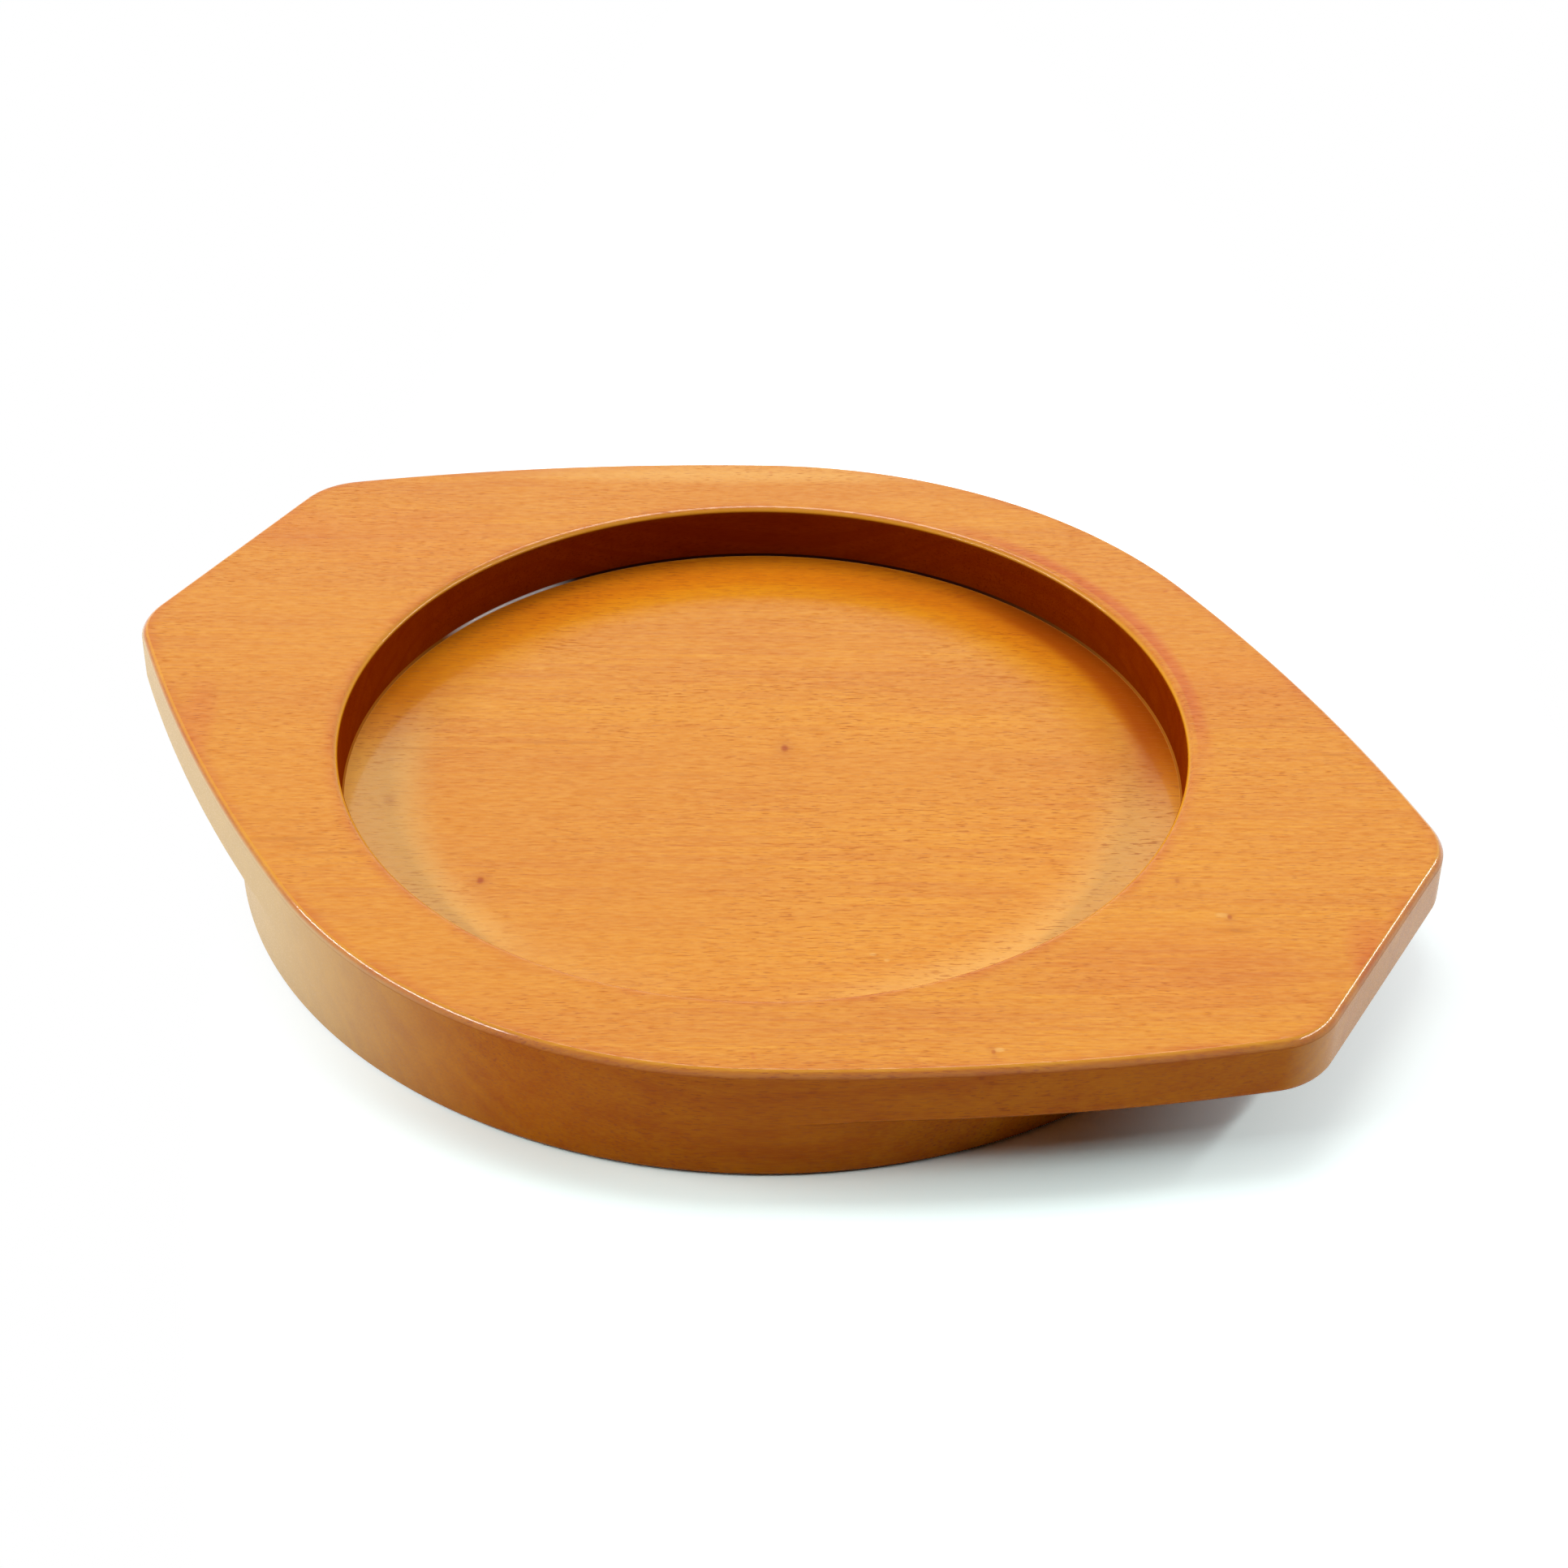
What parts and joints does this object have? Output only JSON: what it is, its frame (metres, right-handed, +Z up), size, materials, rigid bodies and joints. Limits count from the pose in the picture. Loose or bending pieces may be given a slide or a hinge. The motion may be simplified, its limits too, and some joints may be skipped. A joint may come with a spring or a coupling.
{
  "type": "wooden trivet",
  "caption": "Round lacquered wooden holder with a flat recess for a hot bowl and two overhanging tapered handles.",
  "frame": {"origin": "centre of the underside, on the surface that the trivet stands on", "axes": "+X along the handles, +Y across them, +Z up out of the recess"},
  "size_m": [0.22, 0.174, 0.02],
  "materials": {
    "top_wood": "orange-brown stain under clear satin lacquer",
    "base_wood": "orange-brown stain under clear satin lacquer"
  },
  "bodies": {
    "root": {"top_stave_1": "top_wood", "top_stave_2_left": "top_wood", "top_stave_2_right": "top_wood", "top_stave_3_left": "top_wood", "top_stave_3_right": "top_wood", "top_stave_4_left": "top_wood", "top_stave_4_right": "top_wood", "top_stave_5_left": "top_wood", "top_stave_5_right": "top_wood", "top_stave_6": "top_wood", "base_stave_1": "base_wood", "base_stave_2": "base_wood", "base_stave_3": "base_wood", "base_stave_4": "base_wood", "base_stave_5": "base_wood", "base_stave_6": "base_wood", "base_stave_7": "base_wood"}
  },
  "joints": []
}
